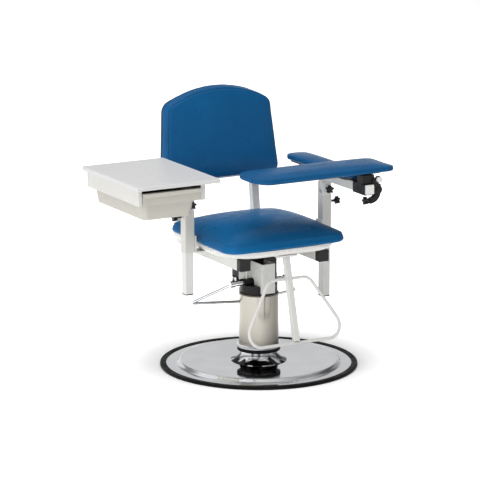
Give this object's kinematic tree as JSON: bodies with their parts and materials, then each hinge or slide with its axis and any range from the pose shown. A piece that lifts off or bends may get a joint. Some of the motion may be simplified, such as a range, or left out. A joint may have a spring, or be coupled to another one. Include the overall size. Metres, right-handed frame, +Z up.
{
  "type": "phlebotomy chair",
  "caption": "Hydraulic-lift swivel chair on a round base, with padded seat and back, a tray with drawer on one arm, a padded flip arm on the other, a pump bar and a footrest.",
  "frame": {"origin": "on the floor, at the centre of the round base, on the column's swivel axis", "axes": "+Z up, +X to the seated person's left, -Y the way the chair faces"},
  "size_m": [0.875, 0.647, 0.8703],
  "materials": {
    "black_rubber": "matt rubber moulding",
    "steel_plate": "dark painted steel plate",
    "polished_chrome": "polished chrome plate",
    "brushed_stainless": "brushed stainless sheet",
    "cast_base": "machined cast iron",
    "ground_steel": "ground and plated steel",
    "bush_nylon": "grey-brown nylon",
    "black_casting": "black painted casting",
    "grey_sheet": "light grey powder-coated sheet",
    "black_steel": "textured black powder coat",
    "satin_steel": "satin nickel-plated steel",
    "satin_aluminium": "satin anodised aluminium",
    "white_plastic": "glossy white moulding",
    "plywood": "black-painted plywood",
    "white_coat": "off-white powder coat",
    "blue_vinyl": "blue upholstery vinyl over foam",
    "zinc_steel": "bright zinc plate",
    "black_plastic": "black moulded plastic",
    "grey_laminate": "light grey laminate",
    "beige_plastic": "warm grey moulded plastic",
    "cap_grey": "light grey moulded plastic"
  },
  "bodies": {
    "base": {"rubber_trim_ring": "black_rubber", "base_plate": "steel_plate", "base_bolts": "zinc_steel", "base_cover": "polished_chrome", "column_socket": "cast_base", "base_bell": "polished_chrome", "column_seal_ring": "black_rubber", "column_trim_ring": "polished_chrome", "column_shroud": "brushed_stainless", "guide_bush": "bush_nylon"},
    "ram": {"lift_ram": "ground_steel", "thrust_washer": "bush_nylon"},
    "seat": {"pump_body": "black_casting", "pump_cover": "grey_sheet", "saddle_bracket": "black_steel", "mount_plate": "black_steel", "valve_rod": "zinc_steel", "seat_rails": "white_coat", "frame_end_caps": "black_plastic", "arm_brackets": "white_coat", "arm_sleeves": "satin_steel", "back_uprights": "satin_aluminium", "frame_bolts": "zinc_steel", "seat_pan": "white_plastic", "seat_board": "plywood", "seat_cushion": "blue_vinyl", "back_cushion": "blue_vinyl", "back_board": "plywood", "footrest_post": "satin_aluminium", "footrest_loop": "polished_chrome"},
    "pump_handle": {"pump_shaft": "polished_chrome", "pump_bar": "polished_chrome"},
    "tray_arm": {"tray_post": "satin_aluminium", "tray_post_foot": "black_plastic", "tray_clevis": "satin_aluminium"},
    "tray": {"tray_bracket": "satin_steel", "tray_top": "grey_laminate", "tray_casing": "grey_sheet", "drawer_runners": "black_plastic"},
    "drawer": {"drawer_tub": "beige_plastic", "drawer_front": "beige_plastic"},
    "arm": {"arm_post": "satin_aluminium", "arm_post_foot": "black_plastic", "arm_clevis": "satin_aluminium"},
    "arm_top": {"arm_tube": "satin_aluminium", "arm_tube_plugs": "cap_grey", "armrest_board": "plywood", "armrest_pad": "blue_vinyl", "flip_clamp": "black_steel", "flip_pin": "black_steel"},
    "flip_arm": {"flip_bracket": "black_steel", "flip_board": "plywood", "flip_pad": "blue_vinyl"},
    "flip_lock": {"flip_lock_plunger": "cap_grey"},
    "height_knob_left_body": {"height_knob_left": "black_plastic"},
    "height_knob_right_body": {"height_knob_right": "black_plastic"},
    "tilt_knob_left_body": {"tilt_knob_left": "black_plastic"},
    "tilt_knob_right_body": {"tilt_knob_right": "black_plastic"},
    "clamp_knob_body": {"clamp_knob": "black_plastic"}
  },
  "joints": [
    {"name": "lift_slide", "type": "slide", "parent": "base", "child": "ram", "axis": [0, 0, 1], "range_m": [0, 0.127]},
    {"name": "seat_swivel", "type": "hinge", "parent": "ram", "child": "seat", "pos_m": [0, 0, 0.242], "axis": [0, 0, 1], "continuous": true},
    {"name": "pump_pedal", "type": "hinge", "parent": "seat", "child": "pump_handle", "pos_m": [0, 0, 0.274], "axis": [1, 0, 0], "range_deg": [-14, 0], "stiffness_Nm_per_rad": 14, "springref_deg": 8.59},
    {"name": "tray_height", "type": "slide", "parent": "seat", "child": "tray_arm", "axis": [0, 0, 1], "range_m": [0, 0.1]},
    {"name": "tray_tilt", "type": "hinge", "parent": "tray_arm", "child": "tray", "pos_m": [-0.2502, 0.0137, 0.551], "axis": [0, 1, 0], "range_deg": [-10, 10]},
    {"name": "drawer_slide", "type": "slide", "parent": "tray", "child": "drawer", "axis": [0, -1, 0], "range_m": [0, 0.25]},
    {"name": "arm_height", "type": "slide", "parent": "seat", "child": "arm", "axis": [0, 0, 1], "range_m": [0, 0.15]},
    {"name": "arm_tilt", "type": "hinge", "parent": "arm", "child": "arm_top", "pos_m": [0.2502, 0.0137, 0.551], "axis": [0, 1, 0], "range_deg": [-10, 10]},
    {"name": "flip_hinge", "type": "hinge", "parent": "arm_top", "child": "flip_arm", "pos_m": [0.283, -0.243, 0.592], "axis": [0, 1, 0], "range_deg": [0, 90]},
    {"name": "flip_lock_pull", "type": "slide", "parent": "flip_arm", "child": "flip_lock", "axis": [0, -1, 0], "range_m": [0, 0.006], "stiffness_N_per_m": 900, "springref_m": -0.004},
    {"name": "height_knob_left_turn", "type": "hinge", "parent": "seat", "child": "height_knob_left_body", "pos_m": [-0.291, 0.0137, 0.511], "axis": [1, 0, 0], "range_deg": [0, 360]},
    {"name": "height_knob_right_turn", "type": "hinge", "parent": "seat", "child": "height_knob_right_body", "pos_m": [0.291, 0.0137, 0.505], "axis": [1, 0, 0], "range_deg": [0, 360]},
    {"name": "tilt_knob_left_turn", "type": "hinge", "parent": "tray_arm", "child": "tilt_knob_left_body", "pos_m": [-0.2502, -0.0143, 0.551], "axis": [0, 1, 0], "range_deg": [0, 360]},
    {"name": "tilt_knob_right_turn", "type": "hinge", "parent": "arm", "child": "tilt_knob_right_body", "pos_m": [0.2502, -0.0143, 0.551], "axis": [0, 1, 0], "range_deg": [0, 360]},
    {"name": "clamp_knob_turn", "type": "hinge", "parent": "arm_top", "child": "clamp_knob_body", "pos_m": [0.253, -0.243, 0.556], "axis": [1, 0, 0], "range_deg": [0, 360]}
  ]
}
